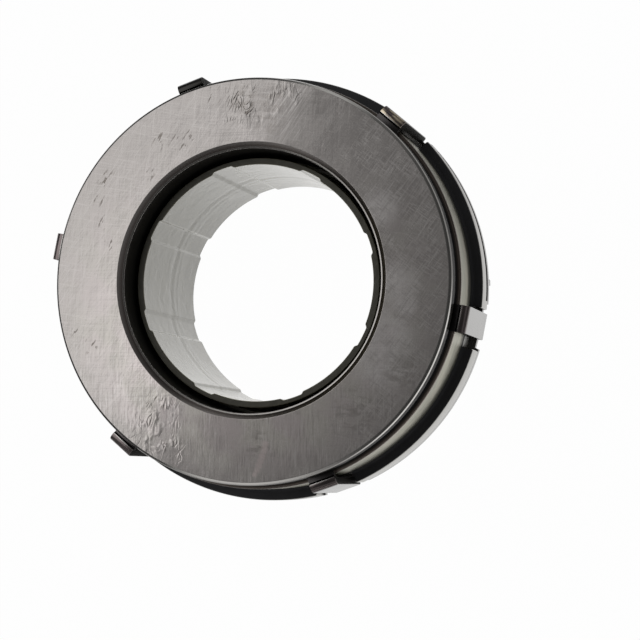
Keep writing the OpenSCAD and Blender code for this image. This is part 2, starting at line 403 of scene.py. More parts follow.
def add(tree, kind, inputs=None, **settings):
    """A node with its settings and inputs, where an input is a value or another node's output."""
    made = tree.nodes.new(kind)
    for key, value in settings.items():
        setattr(made, key, value)
    for key, value in (inputs or {}).items():
        feed(tree, made.inputs[key], value)
    return made


def calc(tree, operation, *values):
    """The result of a math node."""
    return add(tree, "ShaderNodeMath", dict(enumerate(values)), operation=operation).outputs[0]


def vector_calc(tree, operation, inputs, output=0):
    """The result of a vector math node."""
    return add(tree, "ShaderNodeVectorMath", inputs, operation=operation).outputs[output]


def blend_colours(tree, share, first, second):
    """A colour between two, by a share from 0 to 1."""
    return add(tree, "ShaderNodeMix", {0: share, 6: first, 7: second}, data_type="RGBA").outputs[2]


def tint(tree, colour, share, strength, other):
    """A colour drawn towards another by a share times a strength."""
    return blend_colours(tree, calc(tree, "MULTIPLY", share, strength), colour, other)


def ramp_share(tree, value, low, high):
    """A smooth share from 0 to 1 as a value goes from low to high."""
    inputs = {"Value": value, "From Min": low, "From Max": high}
    return add(tree, "ShaderNodeMapRange", inputs, interpolation_type="SMOOTHSTEP").outputs[0]


def millimetres(tree):
    """Object coordinates in millimetres."""
    place = add(tree, "ShaderNodeTexCoord").outputs["Object"]
    return vector_calc(tree, "SCALE", {0: place, "Scale": 1 / MM})


def round_axis(tree, place):
    """Distance from the axis, direction from it and height of each point."""
    parts = add(tree, "ShaderNodeSeparateXYZ", {0: place}).outputs
    flat = vector_calc(tree, "MULTIPLY", {0: place, 1: (1, 1, 0)})
    radius = vector_calc(tree, "LENGTH", {0: flat}, "Value")
    direction = vector_calc(tree, "NORMALIZE", {0: flat})
    return radius, direction, parts["Z"]


def noise(tree, place, scale, detail=2.0, roughness=0.5, distortion=0.0):
    """Noise of a given scale on a place."""
    inputs = {"Vector": place, "Scale": scale, "Detail": detail, "Roughness": roughness,
              "Distortion": distortion}
    return add(tree, "ShaderNodeTexNoise", inputs).outputs["Fac"]


def stretched(tree, place, angle, length, width):
    """A place turned and scaled, so that a pattern on it is that long and wide in millimetres."""
    inputs = {"Vector": place, "Rotation": (0, 0, math.radians(angle)), "Scale": (length, width, 1)}
    return add(tree, "ShaderNodeMapping", inputs, vector_type="TEXTURE").outputs[0]


def streaks(tree, place, stroke, detail=2.0, distortion=0.0):
    """Noise drawn out along an (angle, length, width) stroke."""
    return noise(tree, stretched(tree, place, *stroke), 1.0, detail, 0.5, distortion)


def along(tree, place, angle):
    """How far a place lies from the axis towards an angle."""
    return vector_calc(tree, "DOT_PRODUCT", {0: place, 1: tuple(towards(angle))}, "Value")


def turned_lines(tree, place, across, length, width, detail=2.0):
    """Fine lines that run round the axis, spaced along a radius or a height."""
    around = vector_calc(tree, "SCALE", {0: round_axis(tree, place)[1], "Scale": 1 / length})
    spaced = add(tree, "ShaderNodeCombineXYZ", {"Z": calc(tree, "DIVIDE", across, width)}).outputs[0]
    return noise(tree, vector_calc(tree, "ADD", {0: around, 1: spaced}), 1.0, detail)


def bump(tree, height, depth):
    """A normal from a height of 0 to 1 that stands for a depth in metres."""
    return add(tree, "ShaderNodeBump", {"Height": height, "Strength": 1.0, "Distance": depth}).outputs[0]


def new_finish(name):
    """A new finish with its tree and its shader."""
    finish = bpy.data.materials.new(name)
    finish.use_nodes = True
    tree = finish.node_tree
    return finish, tree, tree.nodes["Principled BSDF"]


def connect(tree, shader, **sockets):
    """Sets or links the shader's sockets, with spaces written as underscores."""
    for key, value in sockets.items():
        feed(tree, shader.inputs[key.replace("_", " ")], value)


def near_marks(tree, place, marks, level):
    """A share that rises to 1 at the given (radius, angle, size) places on a flat at a level."""
    share = 0.0
    for radius, angle, size in marks:
        spot = (radius * math.cos(math.radians(angle)), radius * math.sin(math.radians(angle)), level / MM)
        away = vector_calc(tree, "DISTANCE", {0: place, 1: spot}, "Value")
        share = calc(tree, "MAXIMUM", share, ramp_share(tree, away, size, 0.3 * size))
    return share


# Finishes
def face_grain(tree, place):
    """Shares of light and dark grain, low on the face, on its right and in a bundle of scratches."""
    patches = ramp_share(tree, noise(tree, place, 0.33, 3.0), 0.32, 0.58)
    low_side = ramp_share(tree, along(tree, place, picture_top_angle), *low_grain_reach)
    low_side = calc(tree, "MULTIPLY", low_side, patches)
    right_side = ramp_share(tree, along(tree, place, picture_right_angle), *right_grain_reach)
    right_side = calc(tree, "MULTIPLY", right_side, patches)
    scratched = near_marks(tree, place, scratched_places, face_z)
    sides = [(low_grain, low_side)]
    sides += [(grain, right_side) for grain in right_grains]
    sides += [(scratch_bundle, scratched)]
    light = 0.0
    dark = 0.0
    for stroke, side in sides:
        lines = streaks(tree, place, stroke)
        lighter = calc(tree, "MULTIPLY", ramp_share(tree, lines, 0.50, 0.68), side)
        darker = calc(tree, "MULTIPLY", ramp_share(tree, lines, 0.50, 0.34), side)
        light = calc(tree, "MAXIMUM", light, lighter)
        dark = calc(tree, "MAXIMUM", dark, darker)
    return light, dark


def face_creases(tree, place):
    """Creases in the rubbed places, as a share for their painted shade, and the relief of creases and
    wrinkles there.
    """
    patches = ramp_share(tree, noise(tree, place, 0.42, 2.0), 0.43, 0.62)
    rubbed = calc(tree, "MULTIPLY", near_marks(tree, place, rubbed_places, face_z), patches)
    wrinkles = streaks(tree, place, wrinkle_stroke, 1.0, 1.1)
    folds = streaks(tree, place, fold_stroke, 1.0, 1.3)
    fold_lines = calc(tree, "ABSOLUTE", calc(tree, "SUBTRACT", folds, 0.5))
    creases = calc(tree, "MULTIPLY", ramp_share(tree, fold_lines, 0.035, 0.0), rubbed)
    relief = calc(tree, "MULTIPLY_ADD", creases, -0.6, calc(tree, "MULTIPLY", wrinkles, rubbed))
    return creases, relief


def ground_face_steel():
    """The thrust face: ground in fine crossing strokes, with grain, scratches, nicks and rubbed places, and
    painted shade towards the picture's top and in the creases.
    """
    finish, tree, shader = new_finish("ground_face_steel")
    place = millimetres(tree)
    radius = round_axis(tree, place)[0]
    cloud = noise(tree, place, 0.14, 3.0)
    stain = ramp_share(tree, noise(tree, place, 0.22, 3.0), 0.35, 0.65)
    strokes = 0.0
    for stroke in ground_strokes:
        strokes = calc(tree, "MULTIPLY_ADD", streaks(tree, place, stroke), 0.25, strokes)
    rough_strokes = ramp_share(tree, strokes, 0.55, 0.41)
    light_grain, dark_grain = face_grain(tree, place)
    nick_lines = ramp_share(tree, streaks(tree, place, nick_stroke, 1.0, 0.35), 0.60, 0.68)
    nicks = calc(tree, "MULTIPLY", nick_lines, near_marks(tree, place, nicked_places, face_z))
    creases, relief = face_creases(tree, place)
    waves = streaks(tree, place, wave_stroke)
    smudge_lines = ramp_share(tree, streaks(tree, place, smudge_stroke, 3.0), 0.42, 0.60)
    smudges = calc(tree, "MULTIPLY", smudge_lines, near_marks(tree, place, smudged_places, face_z))
    gleam = calc(tree, "MULTIPLY_ADD", noise(tree, place, 0.8, 4.0), 0.9, 0.1)
    shine = calc(tree, "MULTIPLY", gleam, near_marks(tree, place, bright_places, face_z))
    scratches = 0.0
    for stroke in fine_scratches:
        lines = ramp_share(tree, streaks(tree, place, stroke, 1.0), 0.58, 0.70)
        scratches = calc(tree, "MAXIMUM", scratches, lines)
    # Painted shade: the face darkens towards the picture's top, where less light falls on it
    far_side_shade = ramp_share(tree, along(tree, place, picture_top_angle), *far_shade_reach)
    tints = (
        (cloud, 0.3, clouded_face),
        (ramp_share(tree, radius, *outer_reach), 1.0, outer_face),
        (far_side_shade, 1.0, far_shaded_face),
        (shine, 1.0, bright_face),
        (smudges, 0.48, smudge_brown),
        # Painted shade in the creases
        (creases, 0.4, crease_shade),
        (rough_strokes, 0.24, stroke_grey),
        (dark_grain, 0.31, dark_grain_grey),
        (light_grain, 0.36, light_grain_grey),
        (scratches, 0.13, scratch_white),
        (near_marks(tree, place, scuffed_places, face_z), 0.6, scuff_pink),
        (nicks, 0.8, nick_black),
    )
    colour = blend_colours(tree, stain, bare_face, yellowed_face)
    for share, strength, other in tints:
        colour = tint(tree, colour, share, strength, other)
    dull = calc(tree, "MULTIPLY_ADD", stain, 0.05, 0.075)
    roughness = calc(tree, "MULTIPLY_ADD", rough_strokes, 0.08, dull)
    height = calc(tree, "MULTIPLY_ADD", waves, 0.2, relief)
    height = calc(tree, "MULTIPLY_ADD", nicks, -0.15, height)
    connect(tree, shader, Metallic=1.0, Base_Color=colour, Roughness=roughness)
    connect(tree, shader, Normal=bump(tree, height, face_depth))
    return finish


def turned_steel(name, colour, roughness, depth):
    """Steel with fine turned lines."""
    finish, tree, shader = new_finish(name)
    place = millimetres(tree)
    radius, _, height = round_axis(tree, place)
    lines = turned_lines(tree, place, calc(tree, "ADD", radius, height), 0.5, 0.15)
    worn = noise(tree, place, 0.35, 4.0)
    dark = tuple(0.72 * c for c in colour)
    connect(tree, shader, Metallic=1.0)
    connect(tree, shader, Base_Color=blend_colours(tree, worn, (*dark, 1), (*colour, 1)))
    connect(tree, shader, Roughness=calc(tree, "MULTIPLY_ADD", worn, 0.12, roughness - 0.06))
    connect(tree, shader, Normal=bump(tree, lines, depth))
    return finish


def bore_chamfer_steel():
    """The chamfer at the thrust ring's bore, browned towards the bore."""
    finish, tree, shader = new_finish("bore_chamfer_steel")
    place = millimetres(tree)
    radius = round_axis(tree, place)[0]
    inner_r = (ring_bore_r + shelf_run) / MM
    browned = ramp_share(tree, radius, inner_r + bore_chamfer / MM, inner_r)
    colour = blend_colours(tree, browned, chamfer_grey, chamfer_brown)
    connect(tree, shader, Metallic=1.0, Roughness=0.24, Base_Color=colour)
    connect(tree, shader, Normal=bump(tree, turned_lines(tree, place, radius, 0.5, 0.15), line_depth))
    return finish


def blackened_steel(name, colour, roughness):
    """Steel under a black coating, with fine turned lines."""
    finish, tree, shader = new_finish(name)
    place = millimetres(tree)
    radius, _, height = round_axis(tree, place)
    lines = turned_lines(tree, place, calc(tree, "ADD", radius, height), 0.5, 0.2)
    worn = noise(tree, place, 0.35, 4.0)
    light = tuple(1.6 * c for c in colour)
    connect(tree, shader, Base_Color=blend_colours(tree, worn, (*colour, 1), (*light, 1)), IOR=1.08)
    connect(tree, shader, Roughness=calc(tree, "MULTIPLY_ADD", worn, 0.12, roughness - 0.06))
    connect(tree, shader, Normal=bump(tree, lines, line_depth))
    return finish


def race_wall_steel():
    """The outer race's wall: smooth steel under an uneven film, with painted shade that darkens it and
    takes away its metal towards its foot.
    """
    finish, tree, shader = new_finish("race_wall_steel")
    place = millimetres(tree)
    height = round_axis(tree, place)[2]
    lines = turned_lines(tree, place, height, 0.5, 0.2)
    film = turned_lines(tree, place, height, 0.22, 1.6, 3.0)
    colour = blend_colours(tree, ramp_share(tree, film, 0.35, 0.65), race_olive, race_grey)
    uneven_height = calc(tree, "MULTIPLY_ADD", film, 2.0, height)
    # Painted shade: darker and less metallic towards the wall's foot, in the corner over the ledge
    foot_shade = ramp_share(tree, uneven_height, foot_shade_top / MM, foot_shade_bottom / MM)
    colour = blend_colours(tree, foot_shade, colour, race_foot_shade)
    metal_share = calc(tree, "MULTIPLY_ADD", foot_shade, -0.9, 1.0)
    connect(tree, shader, Metallic=metal_share, Base_Color=colour, IOR=1.08)
    connect(tree, shader, Roughness=calc(tree, "MULTIPLY_ADD", film, 0.14, 0.36))
    connect(tree, shader, Normal=bump(tree, calc(tree, "ADD", film, lines), line_depth))
    return finish


def plate_sheet_steel():
    """Sheet steel of the retainer plate, browned on the folds and lips of its tabs, with painted shade
    inside the coined step of each lip, a painted highlight along that step and painted shade on the tab at
    180 degrees.
    """
    finish, tree, shader = new_finish("plate_sheet_steel")
    place = millimetres(tree)
    radius, _, height = round_axis(tree, place)
    cloud = noise(tree, place, 0.4, 4.0)
    grey = blend_colours(tree, cloud, sheet_grey, sheet_light)
    stains = ramp_share(tree, streaks(tree, place, stain_stroke, 3.0), 0.40, 0.56)
    stained = calc(tree, "MULTIPLY", near_marks(tree, place, stained_tabs, lip_top), stains)
    inside = ramp_share(tree, radius, coined_r / MM, (coined_r - coined_depth) / MM)
    edge = calc(tree, "ABSOLUTE", calc(tree, "SUBTRACT", radius, coined_r / MM))
    brown = blend_colours(tree, cloud, fold_brown, fold_light)
    brown = blend_colours(tree, stained, brown, tab_stain)
    brown = blend_colours(tree, inside, brown, lip_shade)
    # Painted highlight along the coined step
    brown = blend_colours(tree, ramp_share(tree, edge, 0.2, 0.05), brown, coined_edge_highlight)
    # Painted shade on the top of the tab at 180 degrees
    brown = blend_colours(tree, near_marks(tree, place, shaded_tabs, lip_top), brown, tab_shade)
    folded = ramp_share(tree, height, fold_z / MM, fold_z / MM + 0.7)
    connect(tree, shader, Metallic=1.0, Base_Color=blend_colours(tree, folded, grey, brown))
    connect(tree, shader, Roughness=calc(tree, "MULTIPLY_ADD", cloud, 0.12, 0.2))
    connect(tree, shader, Normal=bump(tree, noise(tree, place, 1.6, 3.0), line_depth))
    return finish


def sheared_edge_steel():
    """The sheared sides of the tabs, torn, with painted shade that makes them near black and barely
    reflective.
    """
    finish, tree, shader = new_finish("sheared_edge_steel")
    place = millimetres(tree)
    # Painted shade: near black, with little reflection
    colour = blend_colours(tree, noise(tree, place, 0.8, 4.0), sheared_shade_black, sheared_shade_grey)
    connect(tree, shader, Base_Color=colour, IOR=1.08, Roughness=0.5)
    connect(tree, shader, Normal=bump(tree, noise(tree, place, 3.0, 3.0), torn_depth))
    return finish


def moulded_polymer(name, colour, roughness, oil):
    """Satin moulded polymer, with a share of oil on it."""
    finish, tree, shader = new_finish(name)
    place = millimetres(tree)
    cloud = noise(tree, place, 0.3, 3.0)
    light = tuple(1.25 * c for c in colour)
    connect(tree, shader, Base_Color=blend_colours(tree, cloud, (*colour, 1), (*light, 1)))
    connect(tree, shader, Roughness=calc(tree, "MULTIPLY_ADD", cloud, 0.1, roughness - 0.05))
    uneven = noise(tree, place, 0.45, 2.0, 0.5, 0.6)
    connect(tree, shader, IOR=1.5, Specular_Tint=warm_gloss, Normal=bump(tree, uneven, moulded_depth))
    connect(tree, shader, Coat_Weight=oil, Coat_Roughness=0.14, Coat_IOR=1.5, Coat_Tint=oil_tint)
    return finish


def soft_rubber():
    """Matt black rubber of the front seal."""
    finish, tree, shader = new_finish("seal_rubber")
    place = millimetres(tree)
    colour = blend_colours(tree, noise(tree, place, 0.5, 4.0), rubber_black, rubber_grey)
    connect(tree, shader, Base_Color=colour, Roughness=0.6)
    connect(tree, shader, Normal=bump(tree, noise(tree, place, 4.0), rubber_depth))
    return finish


# Pieces
def thrust_ring():
    """The ground ring: a hub inside the balls, a shoulder over them and the thrust flange."""
    groove_top = math.degrees(math.asin(shoulder_offset / raceway_r))
    groove_start = 90 - groove_top
    groove_end = 180 + math.degrees(math.acos((pitch_r - hub_r) / raceway_r))
    outer = rounded([
        (ring_bore_r + hub_edge, hub_z, 0),
        (ring_bore_r, hub_z + hub_edge, 0),
        (ring_bore_r, face_z - bore_chamfer - shelf_drop, ring_break),
        (ring_bore_r + shelf_run, face_z - bore_chamfer, ring_break),
        (ring_bore_r + shelf_run + bore_chamfer, face_z, ring_break),
        (face_r - rim_edge_run - rim_chamfer, face_z, ring_break),
        (face_r - rim_edge_run, face_z - rim_chamfer, ring_break),
        (face_r, face_z - rim_chamfer - rim_edge_drop, ring_break),
        (face_r, rim_z + rim_chamfer, ring_break),
        (face_r - rim_chamfer, rim_z, ring_break),
        (shoulder_r, rim_z, shoulder_fillet),
        (shoulder_r, rim_z - shoulder_height, 0),
    ])
    groove = arc((pitch_r, ball_z), raceway_r, groove_start, groove_end, GROOVE_STEPS)
    hub = [(hub_r, hub_z + hub_edge), (hub_r - hub_edge, hub_z)]
    section = outer + groove + hub
    finishes = [
        ground_face_steel(),
        turned_steel("bright_rim_steel", (0.68, 0.66, 0.63), 0.10, rim_line_depth),
        bore_chamfer_steel(),
        turned_steel("worn_shelf_steel", (0.56, 0.533, 0.506), 0.26, fine_line_depth),
        blackened_steel("black_ring_steel", (0.045, 0.043, 0.039), 0.30),
    ]

    def finish_of(centre, normal):
        away = math.hypot(centre.x, centre.y)
        if normal.z > face_facing and centre.z > face_z - ring_break:
            return 0
        if away > pitch_r and centre.z > face_z - rim_chamfer - rim_edge_drop:
            return 1
        if away < hub_r and centre.z > face_z - bore_chamfer + ring_break / 2:
            return 2
        if away < hub_r and centre.z > face_z - bore_chamfer - shelf_drop - ring_break:
            return 3
        return 4

    shape = ring_shape([(angle, section) for angle in even_angles()])
    ring = piece_from("thrust_ring_turned", shape, finishes, finish_of)
    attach(ring, "ring")
    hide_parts("thrust_ring")


def race_section(flange_r, flange_top, slit):
    """A section of the outer race. flange_r falls to race_r in a slot."""
    groove_start = -90 - math.degrees(math.asin(race_inner_offset / raceway_r))
    groove_end = math.degrees(math.acos((race_land_r - pitch_r) / raceway_r))
    inside = [
        (recess_r, race_z),
        (recess_r, recess_z),
        (shield_seat_r, recess_z),
        (shield_seat_r, shield_top),
        (race_inner_r, shield_top),
    ]
    groove = arc((pitch_r, ball_z), raceway_r, groove_start, groove_end, GROOVE_STEPS)
    front = [(race_land_r, seal_seat_z), (seal_seat_r, seal_seat_z), (seal_seat_r, race_top)]
    nose = arc((race_r - race_round, race_top - race_round), race_round, 90, 0, ROUND_STEPS)
    nose.append((race_r, race_top - race_round - FLAT_EDGE))
    fillet = arc((race_r + race_fillet, flange_top + race_fillet), race_fillet, 180, 270, ROUND_STEPS)
    fillet.insert(0, (race_r, flange_top + race_fillet + FLAT_EDGE))
    edge = arc((flange_r - flange_edge, flange_top - flange_edge), flange_edge, 90, 0, EDGE_STEPS)
    slit_top = race_z + slit_height
    slit_floor = flange_r - slit_depth
    if slit:
        rear = [(flange_r, slit_top), (slit_floor, slit_top), (slit_floor, race_z)]
    else:
        rear = [(flange_r, slit_top), (flange_r, race_z), (slit_floor, race_z)]
    outside = [(min(r, flange_r), z) for r, z in fillet + edge + rear]
    return inside + groove + front + nose + [(max(r, race_r), z) for r, z in outside[:-1]] + [outside[-1]]


def outer_race():
    """The outer race: a ball groove inside and a flange that is slotted for the tabs."""
    full = race_section(retainer_r, ledge_z, False)
    broken = race_section(retainer_r - race_break, ledge_z - race_break, False)
    slotted = race_section(race_r, ledge_z, False)
    with_slit = race_section(retainer_r, ledge_z, True)
    edge_turn = math.degrees(race_break / retainer_r)
    pitch = 360 / tab_count
    stations = []
    for i in range(tab_count):
        slot = i * pitch
        land_start = slot + slot_angle / 2
        land_end = slot + pitch - slot_angle / 2
        middle = slot + pitch / 2
        stations += [(a, slotted) for a in spread(slot - slot_angle / 2, land_start)]
        stations.append((land_start, broken))
        if middle in slit_centres:
            slit_start, slit_end = middle - slit_angle / 2, middle + slit_angle / 2
            stations += [(a, full) for a in spread(land_start + edge_turn, slit_start)]
            stations += [(a, with_slit) for a in spread(slit_start, slit_end)]
            stations += [(a, full) for a in spread(slit_end, land_end - edge_turn)]
        else:
            stations += [(a, full) for a in spread(land_start + edge_turn, land_end - edge_turn)]
        stations.append((land_end, broken))
    finishes = [
        race_wall_steel(),
        turned_steel("brown_nose_steel", (0.19, 0.160, 0.140), 0.28, line_depth),
        blackened_steel("black_ledge_steel", (0.060, 0.060, 0.063), 0.26),
        turned_steel("flange_rim_steel", (0.46, 0.45, 0.425), 0.3, line_depth),
    ]

    def finish_of(centre, normal):
        away = math.hypot(centre.x, centre.y)
        if away > race_r - race_round and centre.z > race_top - race_round:
            return 1
        if abs(normal.z) > ledge_facing or away < race_r - race_break:
            return 2
        if centre.z > ledge_z + race_fillet:
            return 0
        return 3 if centre.z < ledge_z else 2

    shape = ring_shape([(race_turn + angle, section) for angle, section in stations])
    race = piece_from("outer_race_turned", shape, finishes, finish_of)
    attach(race, "race")
    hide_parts("outer_race")


def copies_round_axis():
    """A node tree that turns copies of a piece evenly round the axis."""
    tree = bpy.data.node_groups.new("copies_round_axis", "GeometryNodeTree")
    tree.interface.new_socket("Piece", in_out="INPUT", socket_type="NodeSocketGeometry")
    tree.interface.new_socket("Count", in_out="INPUT", socket_type="NodeSocketInt")
    tree.interface.new_socket("Finish", in_out="INPUT", socket_type="NodeSocketMaterial")
    tree.interface.new_socket("Copies", in_out="OUTPUT", socket_type="NodeSocketGeometry")
    given = add(tree, "NodeGroupInput").outputs
    points = add(tree, "GeometryNodeMeshLine", {"Count": given["Count"], "Offset": (0, 0, 0)}).outputs[0]
    share = calc(tree, "DIVIDE", add(tree, "GeometryNodeInputIndex").outputs[0], given["Count"])
    angle = calc(tree, "MULTIPLY", share, 2 * math.pi)
    euler = add(tree, "ShaderNodeCombineXYZ", {"Z": angle}).outputs[0]
    turn = add(tree, "FunctionNodeEulerToRotation", {0: euler}).outputs[0]
    inputs = {"Points": points, "Instance": given["Piece"], "Rotation": turn}
    copies = add(tree, "GeometryNodeInstanceOnPoints", inputs).outputs[0]
    real = add(tree, "GeometryNodeRealizeInstances", {0: copies}).outputs[0]
    done = add(tree, "GeometryNodeSetMaterial", {"Geometry": real, "Material": given["Finish"]}).outputs[0]
    add(tree, "NodeGroupOutput", {0: done})
    return tree


def run_tree(piece, tree, values):
    """Runs a node tree on a piece with named values and keeps the result as its mesh."""
    modifier = piece.modifiers.new(tree.name, "NODES")
    modifier.node_group = tree
    sockets = {item.name: item.identifier for item in tree.interface.items_tree if item.in_out == "INPUT"}
    for name, value in values.items():
        modifier[sockets[name]] = value
    settle(piece)


def tab_shape():
    """One tab: a leg that stands on the rim, folded in over the race."""
    section = rounded([
        (retainer_r, plate_z, tab_root_round),
        (retainer_r, lip_top, tab_corner_r),
        (coined_r, lip_top, sheet_break),
        (coined_r - coined_depth, lip_top - coined_depth, sheet_break),
        (lip_r, lip_top - coined_depth, sheet_break),
        (lip_r, lip_z, sheet_break),
        (tab_inner_r, lip_z, tab_fold_r),
        (tab_inner_r, plate_top - sheet_t / 3, 0),
        (tab_inner_r, plate_z, 0),
    ], ROUND_STEPS)
    shape = bmesh.new()
    side = [shape.verts.new((r, -tab_width / 2, z)) for r, z in section]
    face = shape.faces.new(side)
    grown = bmesh.ops.extrude_face_region(shape, geom=[face])["geom"]
    far = [v for v in grown if isinstance(v, bmesh.types.BMVert)]
    bmesh.ops.translate(shape, verts=far, vec=(0, tab_width, 0))
    bmesh.ops.recalc_face_normals(shape, faces=shape.faces)
    flat_sides = [f for f in shape.faces if abs(f.normal.y) > tab_side_facing]
    rims = {e for f in flat_sides for e in f.edges}
    bmesh.ops.bevel(shape, geom=list(rims), offset=tab_break, segments=2, profile=0.6, affect="EDGES")
    return shape


def plate_shape():
    """The flat ring with a relief notch on each side of every tab."""

    def section(rim_r):
        return rounded([
            (plate_hole_r, plate_z, sheet_break),
            (rim_r, plate_z, sheet_break),
            (rim_r, plate_top, sheet_break),
            (plate_hole_r, plate_top, sheet_break),
        ], SHEET_STEPS)

    full = section(retainer_r)
    notched = section(retainer_r - notch_depth)
    notch_half = math.degrees(math.asin((tab_width / 2 + notch_width) / retainer_r))
    notch_angles = (-notch_half, -notch_half / 3, notch_half / 3, notch_half)
    edge_turn = math.degrees(sheet_break / retainer_r)
    stations = []
    for i in range(tab_count):
        centre = i * 360 / tab_count
        following = centre + 360 / tab_count
        stations += [(centre + a, notched) for a in notch_angles]
        first = centre + notch_half + edge_turn
        last = following - notch_half - edge_turn
        stations += [(a, full) for a in spread(first, last)]
    return ring_shape(stations)


def fork_pad_shape():
    """A round pad on the plate's back for the release fork."""
    shape = bmesh.new()
    bmesh.ops.create_cone(shape, cap_ends=True, segments=pad_segments, radius1=pad_r, radius2=pad_r,
                          depth=pad_height + sheet_t / 2)
    middle = (pad_ring_r, 0, plate_z + (sheet_t / 2 - pad_height) / 2)
    bmesh.ops.translate(shape, verts=shape.verts, vec=middle)
    low = [e for e in shape.edges if all(v.co.z < plate_z - pad_height / 2 for v in e.verts)]
    bmesh.ops.bevel(shape, geom=low, offset=pad_edge, segments=3, profile=0.5, affect="EDGES")
    return shape


def nib_shape():
    """The small locating nib under the rim."""
    shape = bmesh.new()
    bmesh.ops.create_cube(shape, size=1.0)
    tall = plate_z + sheet_t / 2 - nib_z
    bmesh.ops.scale(shape, verts=shape.verts, vec=(nib_depth, nib_width, tall))
    middle = (retainer_r - nib_inset - nib_depth / 2, 0, nib_z + tall / 2)
    bmesh.ops.translate(shape, verts=shape.verts, vec=middle)
    bmesh.ops.bevel(shape, geom=shape.edges[:], offset=sheet_break, segments=2, profile=0.6, affect="EDGES")
    bmesh.ops.rotate(shape, verts=shape.verts, matrix=Matrix.Rotation(math.radians(nib_angle), 3, "Z"))
    return shape


def join_solid(piece, other):
    """Joins another closed solid to a piece and removes it."""
    union = piece.modifiers.new("union", "BOOLEAN")
    union.operation = "UNION"
    union.solver = "EXACT"
    union.object = other
    settle(piece)
    bpy.data.objects.remove(other)


def is_tab_side(centre, normal):
    """Whether a face of the plate is a sheared side of a tab."""
    away = math.hypot(centre.x, centre.y)
    sideways = (normal.y * centre.x - normal.x * centre.y) / away
    return abs(sideways) > sheared_facing and away > lip_r and centre.z > plate_top


def retainer_plate():
    """The plate with its tabs, fork pads and nib, as one sheet-metal piece."""
    steel = plate_sheet_steel()
    sheared_steel = sheared_edge_steel()
    copies = copies_round_axis()
    plate = piece_from("retainer_plate_folded", plate_shape(), [steel])
    tabs = piece_from("tabs", tab_shape(), [steel])
    run_tree(tabs, copies, {"Count": tab_count, "Finish": steel})
    pads = piece_from("fork_pads", fork_pad_shape(), [steel])
    pads.data.transform(Matrix.Rotation(math.radians(pad_turn), 4, "Z"))
    run_tree(pads, copies, {"Count": pad_count, "Finish": steel})
    nib = piece_from("nib", nib_shape(), [steel])
    for solid in (tabs, pads, nib):
        join_solid(plate, solid)
    shape = bmesh.new()
    shape.from_mesh(plate.data)
    bmesh.ops.remove_doubles(shape, verts=shape.verts, dist=MERGE)
    set_shading(shape)
    for face in shape.faces:
        face.material_index = int(is_tab_side(face.calc_center_median(), face.normal))
    shape.to_mesh(plate.data)
    shape.free()
    plate.data.materials.append(sheared_steel)
    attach(plate, "carrier")
    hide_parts("retainer_plate")


def guide_sleeve():
    """The moulded sleeve: a grooved bore, a collar and a thicker tail."""
    coarse = [sleeve_z + mouth_chamfer + bore_step * i for i in range(bore_steps + 1)]
    fine = [coarse[-1] + sunk_step * i for i in range(1, sunk_steps + 1)]
    top_step = (sleeve_top - front_edge - fine[-1]) / top_steps
    bore_heights = coarse + fine + [fine[-1] + top_step * i for i in range(1, top_steps + 1)]
    outside = rounded([
        (guide_r + groove_depth + front_edge, sleeve_top, 0),
        (sleeve_r, sleeve_top, sleeve_edge),
        (sleeve_r, collar_top, collar_fillet),
        (collar_r, collar_top, collar_edge),
        (collar_r, collar_z, collar_edge),
        (tail_r, collar_z, sleeve_edge),
        (tail_r, sleeve_z, tail_round),
        (guide_r + groove_depth + mouth_chamfer, sleeve_z, 0),
    ])

    def sunk(z):
        return sum(depth * MM * math.exp(-((z / MM - middle) / sink_width) ** 2)
                   for middle, depth in sink_marks)

    def section(angle):
        away = (angle - sleeve_turn + 180 / groove_count) % (360 / groove_count) - 180 / groove_count
        share = min(1, max(0, 0.5 + (groove_angle / 2 - abs(away)) / groove_edge_angle))
        bore_r = guide_r + groove_depth * share * share * (3 - 2 * share)
        inside = [(bore_r + sunk(z), z) for z in bore_heights]
        low = (bore_r + mouth_chamfer, sleeve_z)
        high = (bore_r + front_edge, sleeve_top)
        return [low] + inside + [high] + outside[1:-1]

    edges = [sleeve_turn + i * 360 / groove_count + side * groove_angle / 2
             for i in range(groove_count) for side in (-1, 1)]
    edge_steps = (-2.5, -1.5, -0.5, 0.5, 1.5, 2.5)
    steps = [edge + 0.2 * groove_edge_angle * k for edge in edges for k in edge_steps]

    # The front end face, deep in the ring's bore, takes the second finish, which is painted shade
    def finish_of(centre, normal):
        return int(normal.z > sleeve_end_facing and centre.z > sleeve_top - front_edge)

    finishes = [
        moulded_polymer("olive_polymer", (0.286, 0.272, 0.196), 0.22, 0.6),
        # Painted shade on the front end face
        moulded_polymer("shaded_end_polymer", (0.085, 0.081, 0.064), 0.40, 0.0),
    ]
    shape = ring_shape([(angle, section(angle)) for angle in even_angles(steps)])
    sleeve = piece_from("guide_sleeve_moulded", shape, finishes, finish_of)
    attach(sleeve, "carrier")
    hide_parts("guide_sleeve")


def balls():
    """The balls, as even spheres on the cage."""
    steel = turned_steel("polished_ball_steel", (0.75, 0.75, 0.74), 0.10, polish_depth)
    names = [name for name in frame["nodes"] if name.startswith("ball_") and name != "ball_cage"]
    for name in names:
        low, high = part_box(name)
        shape = bmesh.new()
        bmesh.ops.create_icosphere(shape, subdivisions=BALL_SUBDIVISIONS, radius=ball_r)
        bmesh.ops.translate(shape, verts=shape.verts, vec=(low + high) / 2)
        ball = piece_from(name + "_polished", shape, [steel])
        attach(ball, "cage")
        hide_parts(name)


